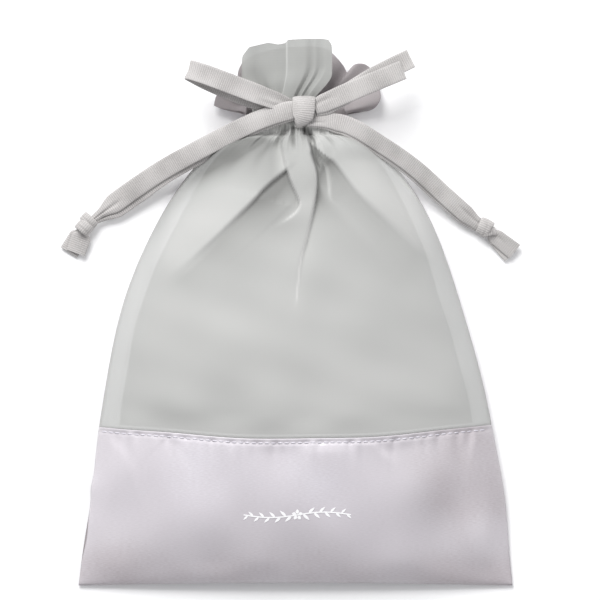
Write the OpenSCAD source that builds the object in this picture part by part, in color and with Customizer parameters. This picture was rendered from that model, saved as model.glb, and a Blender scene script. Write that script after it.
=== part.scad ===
// Drawstring gift pouch, lying on its back with the mouth towards +Y and the front up (+Z).
// Millimetres. The origin is on the resting surface, in the middle of the pouch's own outline.
// Cloth and ribbon are plain closed solids, a little thicker than the real material.

/* [Pouch] */
// Width across the bottom seam
pouch_w = 240; // [200:10:280]
// Width of the gathered neck where the casing starts
neck_w = 56; // [50:2:64]
// Distance from the bottom seam to the casing
body_l = 249; // [220:1:280]
// How far the filled front rises above its edges
belly_rise = 30; // [20:1:40]
// Share of the body length covered by the satin base band
band_share = 0.322; // [0.2:0.01:0.45]

/* [Cloth] */
// Thickness of the back panel
back_t = 1.6; // [1:0.1:3]
// Thickness of the front skins
skin_t = 1.5; // [1:0.1:3]
// Width of the folded allowances inside the seams
allowance_w = 9.5; // [6:0.5:12]

/* [Neck] */
// Length of the drawstring casing along the pouch
casing_l = 14; // [13:0.5:18]
// Outer radius of the gathered casing's round ends
casing_r = 11; // [10:0.5:12]
// Radius of the round ends of the mouth left inside the casing
mouth_r = 4; // [3:0.5:5]
// Length of the frills past the casing
frill_l = 39; // [30:1:45]

/* [Ribbon] */
// Width of the grosgrain ribbon
ribbon_w = 10; // [8:0.5:12]
// Thickness of one ribbon layer
ribbon_t = 0.6; // [0.4:0.1:1]
// Radius of the knots that stop the drawstring ends
stop_knot_r = 4.6; // [4:0.1:5.5]
// Length of the ribbon ends past the stop knots
tab_l = 16; // [8:1:18]

/* [Bow] */
// Length of the bow's loop
loop_l = 57; // [45:1:65]
// Radius of the loop's folded end
loop_end_r = 4.5; // [3.5:0.5:6]
// Length of the bow's shorter free end
bow_end_l = 51; // [40:1:56]
// Width of the wrap along the bow
wrap_w = 12; // [10:0.5:14]

/* [Hidden] */

SATIN = "#cdc9d2";
ORGANZA = "#c3c6c2";
RIBBON = "#c4c0c0";
LINING = "#b4aeb6";

eps = 0.05;
bottom_y = -151;
casing_y = bottom_y + body_l;
frill_y = casing_y + casing_l;
edge_z = back_t + skin_t;
neck_z = 12.5;                         // height of the middle of the gathered neck
neck_top = neck_z + casing_r;
straight = neck_w / 2 - 1 - casing_r;  // half of the casing's straight middle
tie_t = 0.9;
tie_gap = 0.05;

// Channel that the drawstrings run in, between the casing's two layers
channel_r = [7.9, 9.2];
left_run_r = [8, 8.5];
right_run_r = [8.6, 9.1];
run_margin = (casing_l - ribbon_w) / 2;

// The bow is tied on top of the neck, a little to the right of the middle
bow_x = 5;
bow_y = 110.3;
wrap_z = [24.5, 31];
wrap_h = 17;
wrap_wall = 0.9;
core_z = 27.3;
core_t = 0.9;
pull_w = 7.6;        // the ribbon is crumpled to this width under the wrap
pull_t = 1.5;        // two ribbon layers
left_pull_z = 28.4;
right_pull_z = 25.6;
pull_tilt = 10;      // the pulls leave the wrap sloping down towards the pouch by this angle
pull_l = 13.2;

left_pull_at = [-3, 110];
right_pull_at = [13, 107.5];
loop_at = [-3, 118.6];
loop_z = 27;
loop_turn = 163;     // direction of the loop, anticlockwise from +X
loop_w = 8;
bow_ends_at = [12.8, 116];
bow_end_w = 8.6;
bow_end_turn = [22, 27];     // directions of the front and back ends
bow_end_z = [28.3, 27.3];
bow_end_extra = 7;           // the back end is this much longer

// Routes of the four drawstring strands, from the wrap to the stop knots
LEFT_UPPER = [
    [-3.5, 110, 29.6], [-14, 107.5, 29], [-26, 104, 26.5], [-48, 92.5, 19],
    [-71, 80, 12], [-88, 69, 8], [-104, 57.5, 5.8], [-112, 51.3, 5]
];
LEFT_LOWER = [
    [-3.5, 109.5, 28.7], [-14, 106, 27.5], [-26, 102, 24], [-48, 90, 16.5],
    [-71, 77.5, 9.5], [-88, 66, 5.6], [-104, 55, 4], [-112, 50.2, 4]
];
RIGHT_UPPER = [
    [13.5, 107, 27], [27, 104.5, 26.6], [45, 94, 23.5], [65, 80, 15],
    [83, 63.5, 9], [98, 50.5, 6], [102.5, 48.2, 5.2]
];
RIGHT_LOWER = [
    [13.5, 106.5, 26], [26, 102.5, 25], [43, 91.5, 21.5], [62, 77, 13],
    [80, 60.5, 7], [95, 48.5, 4.2], [102, 46.4, 4.2]
];
LEFT_KNOT = [-115.5, 48.7, 4.8];
RIGHT_KNOT = [106, 46.2, 4.8];
LEFT_TAB_TURN = -120;
RIGHT_TAB_TURN = -45;
TAB_Z = [3.4, 1.2];
TAB_FAN = 9;         // the two ribbon ends fan apart by this angle

// Half of the outline's width, t = 0 at the bottom seam and 1 at the casing
function half_width(t) =
    neck_w / 2 + (pouch_w - neck_w) / 2 * pow(max(0, 1 - t / 2 - t * t * t / 2), 0.6);
// Height of the filled front along its middle
function crown(t) =
    edge_z + belly_rise * sqrt(max(0, 4 * t * (1 - t))) + (neck_top - edge_z) * t;
// Outer surface of the front, a = -90 at the left edge and 90 at the right
function front_at(t, a, down = 0) = [
    half_width(t) * sin(a),
    bottom_y + body_l * t,
    edge_z - down + (crown(t) - edge_z) * pow(max(0, cos(a)), 1.2)
];
function steps(a, b, n) = [for (i = [0 : n]) a + (b - a) * i / n];

// A slab between two matching grids of points, the upper one first
module slab(upper, lower) {
    rows = len(upper);
    cols = len(upper[0]);
    n = rows * cols;
    function at(r, c, side) = side * n + r * cols + c;
    function quad(p, q, r, s) = [[p, q, r], [p, r, s]];
    faces = concat(
        [for (r = [0 : rows - 2], c = [0 : cols - 2])
            each quad(at(r, c, 0), at(r + 1, c, 0), at(r + 1, c + 1, 0), at(r, c + 1, 0))],
        [for (r = [0 : rows - 2], c = [0 : cols - 2])
            each quad(at(r, c, 1), at(r, c + 1, 1), at(r + 1, c + 1, 1), at(r + 1, c, 1))],
        [for (r = [0 : rows - 2])
            each quad(at(r, 0, 0), at(r, 0, 1), at(r + 1, 0, 1), at(r + 1, 0, 0))],
        [for (r = [0 : rows - 2])
            each quad(at(r + 1, cols - 1, 0), at(r + 1, cols - 1, 1), at(r, cols - 1, 1), at(r, cols - 1, 0))],
        [for (c = [0 : cols - 2])
            each quad(at(0, c + 1, 0), at(0, c + 1, 1), at(0, c, 1), at(0, c, 0))],
        [for (c = [0 : cols - 2])
            each quad(at(rows - 1, c, 0), at(rows - 1, c, 1), at(rows - 1, c + 1, 1), at(rows - 1, c + 1, 0))]
    );
    polyhedron([for (grid = [upper, lower], row = grid) each row], faces);
}

// Part of the domed front between two shares of the body length
module front_skin(t0, t1, rows, thickness, down = 0, reach = 90) {
    angles = steps(-reach, reach, 32);
    ts = steps(t0, t1, rows);
    slab(
        [for (t = ts) [for (a = angles) front_at(t, a, down)]],
        [for (t = ts) [for (a = angles) front_at(t, a, down + thickness)]]
    );
}

// Outline with round ends across X, in the XZ plane, extruded along +Y
module pill(half_straight, r, y, length) {
    translate([0, y + length, neck_z])
        rotate([90, 0, 0])
            linear_extrude(length) {
                square([2 * half_straight, 2 * r], center = true);
                for (side = [-1, 1])
                    translate([side * half_straight, 0])
                        circle(r, $fn = 64);
            }
}

module ring(radii, y, length) {
    difference() {
        pill(straight, radii[1], y, length);
        pill(straight, radii[0], y - 1, length + 2);
    }
}

module casing_half(front) {
    half_h = 2 * casing_r;
    intersection() {
        difference() {
            ring([mouth_r, casing_r], casing_y + eps, casing_l - 2 * eps);
            ring(channel_r, casing_y + run_margin - 0.2, ribbon_w + 0.4);
        }
        translate([-neck_w, casing_y - 1, neck_z + (front ? eps : -eps - half_h)])
            cube([2 * neck_w, casing_l + 2, half_h]);
    }
}

// Flat ribbon of 4 sides swept along a route, its width kept level
module ribbon(route, width, thickness) {
    last = len(route) - 1;
    function along(i) = route[min(i + 1, last)] - route[max(i - 1, 0)];
    function side(i) = [along(i)[1], -along(i)[0], 0] / norm([along(i)[0], along(i)[1]]) * width / 2;
    slab(
        [for (i = [0 : last]) [for (s = [-1, 1]) route[i] + s * side(i) + [0, 0, thickness / 2]]],
        [for (i = [0 : last]) [for (s = [-1, 1]) route[i] + s * side(i) - [0, 0, thickness / 2]]]
    );
}

// Fluted cloth between the casing and its free edge; outline = [left, right] at the free edge
module frill(outline, base_z, edge_mid_z, flutes, depth, length) {
    columns = 48;
    function wave(u, v) = depth * v * cos(360 * flutes * u);
    function at(u, v, up) = [
        (1 - v) * (2 * u - 1) * (neck_w / 2 - 4) + v * (outline[0] + (outline[1] - outline[0]) * u),
        frill_y + eps + v * length,
        base_z + (edge_mid_z - base_z) * v + wave(u, v) + up
    ];
    slab(
        [for (v = steps(0, 1, 10)) [for (u = steps(0, 1, columns)) at(u, v, 0.6)]],
        [for (v = steps(0, 1, 10)) [for (u = steps(0, 1, columns)) at(u, v, -0.6)]]
    );
}

module side_allowance(side) {
    ts = steps(0.05, 0.93, 24);
    edge = [for (t = ts) [side * half_width(t) * 0.98, bottom_y + body_l * t]];
    color(LINING)
        translate([0, 0, back_t + eps])
            linear_extrude(0.8)
                polygon(concat(edge, [for (i = [24 : -1 : 0]) edge[i] - [side * allowance_w, 0]]));
}

module pull_ribbon(at, z, side) {
    color(RIBBON)
        translate([at[0], at[1], z])
            rotate(side > 0 ? 180 - pull_tilt : pull_tilt)
                translate([0, -pull_w / 2, 0])
                    cube([pull_l, pull_w, pull_t]);
}

module end_tab(knot, turn, z) {
    color(RIBBON)
        translate([knot[0], knot[1], z])
            rotate(turn)
                translate([stop_knot_r - 0.9, -ribbon_w / 2, 0])
                    cube([tab_l, ribbon_w, ribbon_t]);
}

module stop_knot(at) {
    color(RIBBON)
        translate(at)
            sphere(stop_knot_r, $fn = 48);
}

// Satin back, laid flat on the resting surface
module back_panel() {
    ts = steps(0, 1, 40);
    right = [for (t = ts) [half_width(t), bottom_y + body_l * t]];
    left = [for (i = [40 : -1 : 0]) [-right[i][0], right[i][1]]];
    color(SATIN)
        linear_extrude(back_t)
            polygon(concat(right, left));
}

// Sheer organza upper front
module front_window() {
    color(ORGANZA)
        front_skin(band_share + 0.0005, 1, 26, skin_t);
}

// Satin base band, folded over along its top edge
module base_band() {
    color(SATIN)
        front_skin(0, band_share, 14, skin_t);
}

// Turned-in hem behind the band's top edge
module band_hem() {
    color(LINING)
        front_skin(band_share - 0.022, band_share + 0.012, 2, 0.9, skin_t + 0.15, 76);
}

module left_seam_allowance() { side_allowance(-1); }
module right_seam_allowance() { side_allowance(1); }

module bottom_seam_allowance() {
    reach = pouch_w / 2 * 0.88;
    color(LINING)
        translate([-reach, bottom_y + 3, back_t + eps])
            cube([2 * reach, allowance_w - 2, 0.8]);
}

module front_casing() { color(ORGANZA) casing_half(true); }
module back_casing() { color(SATIN) casing_half(false); }

// The parts of the drawstrings that lie inside the casing
module left_casing_run() { color(RIBBON) ring(left_run_r, casing_y + run_margin, ribbon_w); }
module right_casing_run() { color(RIBBON) ring(right_run_r, casing_y + run_margin, ribbon_w); }

// The bow's ribbon where it goes round the neck
module neck_tie() {
    r = casing_r + tie_gap;
    color(RIBBON) ring([r, r + tie_t], casing_y + run_margin, ribbon_w);
}

module front_frill() { color(ORGANZA) frill([-31, 24], 19.9, 20.4, 4, 2.6, frill_l - eps); }
module back_frill() { color(SATIN) frill([-46, 47], 4.6, 4.3, 5, 2.9, frill_l - 9); }

// The bow's wrap, a short tunnel for everything that it holds together
module bow_wrap() {
    mid_z = (wrap_z[0] + wrap_z[1]) / 2;
    r = (wrap_z[1] - wrap_z[0]) / 2;
    flat = wrap_h - 2 * r;
    color(RIBBON)
        translate([bow_x - wrap_w / 2, bow_y, mid_z])
            rotate([90, 0, 90])
                linear_extrude(wrap_w)
                    difference() {
                        union() {
                            square([flat, 2 * r], center = true);
                            for (side = [-1, 1])
                                translate([side * flat / 2, 0])
                                    circle(r, $fn = 48);
                        }
                        square([flat + 3.4, 2 * (r - wrap_wall)], center = true);
                    }
}

module bow_core() {
    color(RIBBON)
        translate([loop_at[0] + 0.5, bow_y - 1.5, core_z])
            cube([bow_ends_at[0] - loop_at[0] - 1.5, 8, core_t]);
}

// One closed loop of ribbon, seen edge on as a teardrop
module bow_loop() {
    color(RIBBON)
        translate([loop_at[0], loop_at[1], loop_z])
            rotate([90, 0, loop_turn])
                translate([0, 0, -loop_w / 2])
                    linear_extrude(loop_w)
                        difference() {
                            teardrop(0.6, loop_end_r);
                            teardrop(0.05, loop_end_r - ribbon_t);
                        }
}

module teardrop(root_r, end_r) {
    hull() {
        translate([2, 0])
            circle(root_r, $fn = 16);
        translate([loop_l - loop_end_r, 3.2])
            circle(end_r, $fn = 32);
    }
}

// One free end of the bow, cut straight across
module bow_end(turn, z, length) {
    color(RIBBON)
        translate([bow_ends_at[0], bow_ends_at[1], z])
            rotate(turn)
                translate([0, -bow_end_w / 2, 0])
                    cube([length, bow_end_w, ribbon_t]);
}

module bow_end_front() { bow_end(bow_end_turn[0], bow_end_z[0], bow_end_l); }
module bow_end_back() { bow_end(bow_end_turn[1], bow_end_z[1], bow_end_l + bow_end_extra); }

module left_pull_ribbon() { pull_ribbon(left_pull_at, left_pull_z, -1); }
module left_ribbon_upper() { color(RIBBON) ribbon(LEFT_UPPER, ribbon_w, ribbon_t); }
module left_ribbon_lower() { color(RIBBON) ribbon(LEFT_LOWER, ribbon_w, ribbon_t); }
module left_stop_knot() { stop_knot(LEFT_KNOT); }
module left_end_tab_upper() { end_tab(LEFT_KNOT, LEFT_TAB_TURN + TAB_FAN, TAB_Z[0]); }
module left_end_tab_lower() { end_tab(LEFT_KNOT, LEFT_TAB_TURN - TAB_FAN, TAB_Z[1]); }

module right_pull_ribbon() { pull_ribbon(right_pull_at, right_pull_z, 1); }
module right_ribbon_upper() { color(RIBBON) ribbon(RIGHT_UPPER, ribbon_w, ribbon_t); }
module right_ribbon_lower() { color(RIBBON) ribbon(RIGHT_LOWER, ribbon_w, ribbon_t); }
module right_stop_knot() { stop_knot(RIGHT_KNOT); }
module right_end_tab_upper() { end_tab(RIGHT_KNOT, RIGHT_TAB_TURN - TAB_FAN, TAB_Z[0]); }
module right_end_tab_lower() { end_tab(RIGHT_KNOT, RIGHT_TAB_TURN + TAB_FAN, TAB_Z[1]); }

back_panel();
front_window();
base_band();
band_hem();
left_seam_allowance();
right_seam_allowance();
bottom_seam_allowance();
front_casing();
back_casing();
left_casing_run();
right_casing_run();
neck_tie();
front_frill();
back_frill();
bow_wrap();
bow_core();
bow_loop();
bow_end_front();
bow_end_back();
left_pull_ribbon();
left_ribbon_upper();
left_ribbon_lower();
left_stop_knot();
left_end_tab_upper();
left_end_tab_lower();
right_pull_ribbon();
right_ribbon_upper();
right_ribbon_lower();
right_stop_knot();
right_end_tab_upper();
right_end_tab_lower();
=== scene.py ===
"""A drawstring gift pouch of satin and organza, lying on its back with the mouth towards +Y.
Sizes are in millimetres until a mesh is made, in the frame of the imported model."""
import math
import bpy
import numpy as np
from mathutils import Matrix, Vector
from mathutils.bvhtree import BVHTree


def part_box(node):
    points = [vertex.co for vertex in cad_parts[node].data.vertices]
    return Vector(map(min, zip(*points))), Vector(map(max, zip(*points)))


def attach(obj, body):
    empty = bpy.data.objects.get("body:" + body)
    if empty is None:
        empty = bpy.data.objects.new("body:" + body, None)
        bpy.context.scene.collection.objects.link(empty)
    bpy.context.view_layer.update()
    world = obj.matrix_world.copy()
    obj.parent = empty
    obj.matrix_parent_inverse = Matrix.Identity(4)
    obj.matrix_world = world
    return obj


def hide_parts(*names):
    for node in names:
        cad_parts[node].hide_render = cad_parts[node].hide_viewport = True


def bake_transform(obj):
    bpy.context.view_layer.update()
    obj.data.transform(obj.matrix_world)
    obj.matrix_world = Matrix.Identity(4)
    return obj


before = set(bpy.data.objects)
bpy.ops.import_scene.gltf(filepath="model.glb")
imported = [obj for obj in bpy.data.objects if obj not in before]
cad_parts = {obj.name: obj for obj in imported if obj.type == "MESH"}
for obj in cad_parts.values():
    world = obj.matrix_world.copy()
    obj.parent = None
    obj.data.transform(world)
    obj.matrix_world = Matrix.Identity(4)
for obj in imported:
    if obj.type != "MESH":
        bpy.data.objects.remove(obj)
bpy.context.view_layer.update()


# Camera. It looks straight down from 3.6 m, so the pouch is seen as a flat lay.
VIEW_WIDTH = 0.332
SENSOR = 36
camera = bpy.data.objects.new("camera", bpy.data.cameras.new("camera"))
camera.location = (0.0025, 0.0069, 3.6)
camera.data.sensor_width = SENSOR
camera.data.lens = SENSOR * camera.location.z / VIEW_WIDTH
bpy.context.scene.collection.objects.link(camera)
bpy.context.scene.camera = camera
bpy.context.scene.view_settings.view_transform = "Standard"


# Table and studio light. The table is a white board with a matt lacquer, and the light is one wide
# softbox above the far left, a weaker one across from it, and a white room.
def linear(code):
    """The linear colour of an sRGB hex code."""
    parts = [int(code[i : i + 2], 16) / 255 for i in (0, 2, 4)]
    return (*[p / 12.92 if p <= 0.04045 else ((p + 0.055) / 1.055) ** 2.4 for p in parts], 1)


def add(tree, kind, inputs=None, stops=(), **settings):
    """Adds a shader node. An input is a value, or an output of another node. The stops of a colour ramp
    are (place, hex code), in order."""
    node = tree.nodes.new(kind)
    for name, value in settings.items():
        setattr(node, name, value)
    for name, value in (inputs or {}).items():
        if isinstance(value, bpy.types.NodeSocket):
            tree.links.new(value, node.inputs[name])
        else:
            node.inputs[name].default_value = value
    for k, (place, code) in enumerate(stops):
        element = node.color_ramp.elements[k] if k < 2 else node.color_ramp.elements.new(place)
        element.position = place
        element.color = linear(code)
    return node


def new_material(name):
    material = bpy.data.materials.new(name)
    material.use_nodes = True
    material.node_tree.nodes.clear()
    return material, material.node_tree


def finish_surface(tree, inputs):
    """Ends a material in one shader with these inputs."""
    shader = add(tree, "ShaderNodeBsdfPrincipled", inputs)
    add(tree, "ShaderNodeOutputMaterial", {"Surface": shader.outputs[0]})


table, tree = new_material("matt_lacquered_board")
speckle = add(tree, "ShaderNodeTexNoise", {"Scale": 90.0, "Detail": 3.0})  # 11 mm clouds
lacquer = add(tree, "ShaderNodeValToRGB", {"Fac": speckle.outputs["Fac"]}, ((0.3, "fbfbfb"), (0.7, "fefefe")))
finish_surface(tree, {"Base Color": lacquer.outputs["Color"], "Roughness": 0.8})
TABLE_HALF, TABLE_Z = 3, -0.0004
top = bpy.data.meshes.new("table_top")
corners = [(a * TABLE_HALF, b * TABLE_HALF, TABLE_Z) for a, b in ((-1, -1), (1, -1), (1, 1), (-1, 1))]
top.from_pydata(corners, [], [(0, 1, 2, 3)])
top.materials.append(table)
table_top = bpy.data.objects.new("table_top", top)
bpy.context.scene.collection.objects.link(table_top)

room = bpy.data.worlds.new("white_room")
bpy.context.scene.world = room
room.use_nodes = True
walls = room.node_tree.nodes["Background"].inputs
walls["Color"].default_value = linear("fbfbff")
walls["Strength"].default_value = 0.46
for name, place, size, power in (
    ("softbox", (-0.4, 1.1, 1.2), 0.9, 28.0),
    ("fill_panel", (0.8, 0.1, 1.4), 1.2, 4.5),
):
    lamp = bpy.data.lights.new(name, "AREA")
    lamp.energy = power
    lamp.size = size
    light = bpy.data.objects.new(name, lamp)
    light.location = place
    light.rotation_euler = (-Vector(place)).to_track_quat("-Z", "Y").to_euler()
    bpy.context.scene.collection.objects.link(light)


# Ribbon. Everything tied on this pouch is one kind: polyester grosgrain a little under 11 mm wide,
# woven with a thick weft, so that it has ribs across it and a smooth narrow selvedge along each edge.
# To the eye it is matt; a faint highlight is painted on each rib, with painted shade in the grooves between
# them.
RIBBON_WIDTH = 10.8
RIB, RIB_HEIGHT = 1.15, 0.17
RIBBON_LAYER = 0.5
BANDS_PER_UNIT = 3.1831  # a wave texture at scale 1 has this many bands in one unit

grosgrain, tree = new_material("grosgrain_woven_polyester")
along = add(tree, "ShaderNodeUVMap", uv_map="cloth_mm")
ribs = add(tree, "ShaderNodeTexWave", {"Vector": along.outputs[0], "Scale": 1 / RIB / BANDS_PER_UNIT},
           wave_type="BANDS", bands_direction="X")
# The threads show 0.6 mm apart, and the dye has clouds 17 mm wide.
threads = add(tree, "ShaderNodeTexNoise", {"Vector": along.outputs[0], "Scale": 1.6, "Detail": 4.0})
dye = add(tree, "ShaderNodeTexNoise", {"Vector": along.outputs[0], "Scale": 0.06, "Detail": 1.0})
shade = add(tree, "ShaderNodeMath", {0: threads.outputs["Fac"], 1: dye.outputs["Fac"]}, operation="ADD")
half = add(tree, "ShaderNodeMath", {0: shade.outputs[0], 1: 0.5}, operation="MULTIPLY")
# Painted highlight on each rib and painted shade in the grooves between the ribs.
painted_rib_light = add(tree, "ShaderNodeMath", {0: ribs.outputs["Fac"], 1: 0.17}, operation="MULTIPLY")
tone = add(tree, "ShaderNodeMath", {0: half.outputs[0], 1: painted_rib_light.outputs[0]}, operation="ADD")
fuzz = add(tree, "ShaderNodeBump", {"Height": threads.outputs["Fac"], "Strength": 0.25, "Distance": 0.0002})
colour = add(tree, "ShaderNodeValToRGB", {"Fac": tone.outputs[0]}, ((0.42, "9c9997"), (0.70, "c2bfbd")))
finish_surface(tree, {
    "Base Color": colour.outputs["Color"], "Normal": fuzz.outputs[0], "Roughness": 0.6,
    "Sheen Weight": 0.25, "Sheen Roughness": 0.5,
})


def smooth_path(points, spacing):
    """Even steps along a smooth curve through the points."""
    p = np.array(points, float)
    p = np.vstack([2 * p[0] - p[1], p, 2 * p[-1] - p[-2]])
    t = np.linspace(0, 1, 60, endpoint=False)[:, None]
    parts = [
        0.5 * (2 * b + (c - a) * t + (2 * a - 5 * b + 4 * c - d) * t**2 + (3 * b - a - 3 * c + d) * t**3)
        for a, b, c, d in zip(p, p[1:], p[2:], p[3:])
    ]
    dense = np.vstack([*parts, p[-2]])
    run = np.concatenate([[0], np.cumsum(np.linalg.norm(np.diff(dense, axis=0), axis=1))])
    s = np.linspace(0, run[-1], max(3, int(round(run[-1] / spacing)) + 1))
    return np.stack([np.interp(s, run, dense[:, k]) for k in range(3)], 1), s


def ease(x, start=0.0, end=1.0):
    """0 before start, 1 after end and smooth between them; start may be the larger."""
    t = np.clip((np.asarray(x, float) - start) / (end - start), 0, 1)
    return t * t * (3 - 2 * t)


def bell(distance, spread):
    """1 at no distance, falling smoothly to 0 over about twice the spread."""
    return np.exp(-((distance / spread) ** 2))


def along_run(stops, share):
    """A value that goes smoothly through (share of the length, value) stops."""
    places, values = zip(*stops)
    share = np.asarray(share, float)
    result = np.full(share.shape, float(values[0]))
    for (p0, v0), (p1, v1) in zip(stops, stops[1:]):
        result = np.where(share >= p0, v0 + (v1 - v0) * ease(share, p0, p1), result)
    return result


def mesh_piece(name, points, faces, uv, material):
    """A mesh object from points in millimetres, with its cloth coordinates in millimetres."""
    mesh = bpy.data.meshes.new(name)
    mesh.from_pydata((np.asarray(points, float).reshape(-1, 3) * 0.001).tolist(), [], faces)
    if uv is not None:
        uv = np.asarray(uv, float).reshape(-1, 2)
        loops = np.zeros(len(mesh.loops), np.int32)
        mesh.loops.foreach_get("vertex_index", loops)
        mesh.uv_layers.new(name="cloth_mm").data.foreach_set("uv", uv[loops].ravel())
    mesh.materials.append(material)
    mesh.polygons.foreach_set("use_smooth", [True] * len(mesh.polygons))
    mesh.validate()
    piece = bpy.data.objects.new(name, mesh)
    bpy.context.scene.collection.objects.link(piece)
    return piece


def grid_faces(rows, columns, first=0, closed=False):
    """Quads of a grid of points, counted row by row; closed joins the last column to the first."""
    last = columns if closed else columns - 1
    r, c = np.meshgrid(np.arange(rows - 1), np.arange(last), indexing="ij")
    a = first + r * columns + c
    b = first + r * columns + (c + 1) % columns
    return np.stack([a, b, b + columns, a + columns], -1).reshape(-1, 4).tolist()


def ribbon_shape(points, width=((0, 1),), roll=((0, 0),), crown=((0, 0.25),), side=None, creases=()):
    """Points, faces and cloth coordinates of a ribbon that follows a route. width, roll (degrees) and
    crown (mm) change along it, and a crease is (start, end, across, depth, half width)."""
    path, s = smooth_path(points, RIB / 6)
    share = s / s[-1]
    tangent = np.gradient(path, axis=0)
    tangent /= np.linalg.norm(tangent, axis=1)[:, None]
    if side is None:
        across = np.cross([0.0, 0.0, 1.0], tangent)
    else:
        across = np.array(side, float) - tangent * (tangent @ np.array(side, float))[:, None]
    across /= np.linalg.norm(across, axis=1)[:, None]
    up = np.cross(tangent, across)
    turn = np.radians(along_run(roll, share))[:, None]
    across, up = across * np.cos(turn) + up * np.sin(turn), up * np.cos(turn) - across * np.sin(turn)
    even = np.linspace(-1, 1, 17)
    v = np.sin(even * math.pi / 2) * 0.35 + even * 0.65
    w = along_run(width, share)[:, None] * RIBBON_WIDTH / 2
    selvedge = ease(np.abs(v), 0.94, 0.84)
    rib = RIB_HEIGHT * (0.5 - 0.5 * np.cos(2 * math.pi * s / RIB))[:, None] ** 0.8 * selvedge[None, :]
    lift = along_run(crown, share)[:, None] * (1 - v**2)[None, :]
    for start, end, place, depth, spread in creases:
        fade = ease(share, start, start + 0.3 * (end - start)) * ease(share, end, end - 0.5 * (end - start))
        lift = lift - depth * fade[:, None] * bell(v - place, spread)[None, :]
    edge = 0.35 + 0.65 * ease(np.abs(v), 1.0, 0.9)
    height = (RIBBON_LAYER / 2 * edge)[None, :] + rib
    middle = path[:, None] + across[:, None] * (w * v[None, :])[..., None] + up[:, None] * lift[..., None]
    upper = middle + up[:, None] * height[..., None]
    lower = middle - up[:, None] * height[..., None]
    ring = np.concatenate([upper, lower[:, ::-1]], axis=1)
    rows, columns = ring.shape[:2]
    faces = grid_faces(rows, columns, closed=True)
    faces.append(list(range(columns))[::-1])
    faces.append(list(range((rows - 1) * columns, rows * columns)))
    flat = np.concatenate([v, v[::-1]]) * RIBBON_WIDTH / 2
    uv = np.stack([np.repeat(s[:, None], columns, 1), np.repeat(flat[None], rows, 0)], -1)
    return ring.reshape(-1, 3), faces, uv.reshape(-1, 2), path


def ribbon_piece(node, body, *shapes, name=None):
    """A piece of ribbon in place of its node; one that bends has no body of its own."""
    points, faces, uv = [], [], []
    for shape in shapes:
        faces += [[i + len(points) for i in face] for face in shape[1]]
        points += list(shape[0])
        uv += list(shape[2])
    piece = mesh_piece(name or node + "_ribbon", points, faces, uv, grosgrain)
    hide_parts(node)
    if body:
        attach(piece, body)
    return piece


# Stop knots and ribbon ends. Each drawstring's two strands are tied together in an overhand knot, a
# crumpled lump of ribbon wrapped round itself, and past it the two cut ends fan apart a little.
def knot_belt(centre, axis, radii, width, turns, tilt, start, slide):
    """A ribbon wound round the axis of a knot, its ends tucked inside. axis is an angle in degrees."""
    a = math.radians(axis)
    lengthways = np.array([math.cos(a), math.sin(a), 0.0])
    sideways = np.array([-math.sin(a), math.cos(a), 0.0])
    t = np.linspace(0, 1, 14)
    angle = np.radians(start) + 2 * math.pi * turns * t
    inward = 1 - 0.45 * ease(t, 0.16, 0.0) - 0.45 * ease(t, 0.84, 1.0)
    lean = math.tan(math.radians(tilt))
    route = [
        np.array(centre)
        + sideways * radii[0] * k * math.cos(g)
        + np.array([0, 0, 1.0]) * radii[1] * k * math.sin(g)
        + lengthways * (slide[0] + (slide[1] - slide[0]) * q + lean * radii[0] * math.cos(g))
        for g, k, q in zip(angle, inward, t)
    ]
    side = lengthways * math.cos(math.radians(tilt)) - sideways * math.sin(math.radians(tilt))
    w = width / RIBBON_WIDTH
    return ribbon_shape(
        route, width=((0, w * 0.6), (0.2, w), (0.8, w), (1, w * 0.6)), side=side, crown=((0, 0.35),),
        creases=((0.1, 0.9, 0.35, 0.35, 0.12), (0.2, 0.95, -0.3, 0.25, 0.1)),
    )


def ribbon_end(root, end, z0, z1, width, roll):
    """A cut end of ribbon past a knot, from height z0 to z1."""
    root, end = np.array(root, float), np.array(end, float)
    mid = (root + end) / 2
    route = [(*root, z0), (*(root * 0.7 + end * 0.3), z0 * 0.4 + z1 * 0.6), (*mid, z1), (*end, z1 * 0.8)]
    return ribbon_shape(
        route, width=((0, width[0]), (0.32, width[1]), (1, width[2])), roll=((0, roll[0]), (0.6, roll[1])),
        crown=((0, 1.1), (0.4, 0.3), (1, 0.21)), creases=((-0.3, 0.7, 0.1, 0.8, 0.2),),
    )


# Two belts and two cut ends for each drawstring.
TIED_ENDS = {
    "left": (
        ((-116.3, 47.6, 4.9), -122, (3.9, 3.5), 6.6, 1.55, 10, -100, (0.4, 1.2)),
        ((-114.2, 50.6, 4.7), -150, (4.1, 3.1), 5.2, 1.4, -16, -60, (-0.6, 0.4)),
        ((-117.0, 45.4), (-121.6, 33.0), 4.6, 3.7, (0.42, 1.0, 1.0), (0, 4)),
        ((-117.4, 45.6), (-125.4, 33.2), 3.0, 1.5, (0.42, 1.0, 1.0), (0, -3)),
    ),
    "right": (
        ((104.6, 46.9, 4.8), -38, (4.2, 3.6), 7.4, 1.6, -12, -80, (-0.6, 0.6)),
        ((106.0, 45.4, 4.4), -62, (3.4, 3.0), 5.0, 1.4, 18, -40, (0.6, 1.4)),
        ((107.2, 44.6), (121.2, 33.6), 4.4, 3.8, (0.45, 0.82, 0.9), (0, 6)),
        ((107.0, 44.2), (119.0, 31.2), 3.0, 1.6, (0.45, 0.75, 0.8), (0, -6)),
    ),
}
for side, (first, second, upper, lower) in TIED_ENDS.items():
    tied = [ribbon_piece(side + "_stop_knot", side + "_tail", knot_belt(*first), knot_belt(*second))]
    for layer, end in (("_upper", upper), ("_lower", lower)):
        node, name = side + "_end_tab" + layer, side + "_ribbon_end" + layer
        tied.append(ribbon_piece(node, side + "_tail", ribbon_end(*end), name=name))


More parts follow.
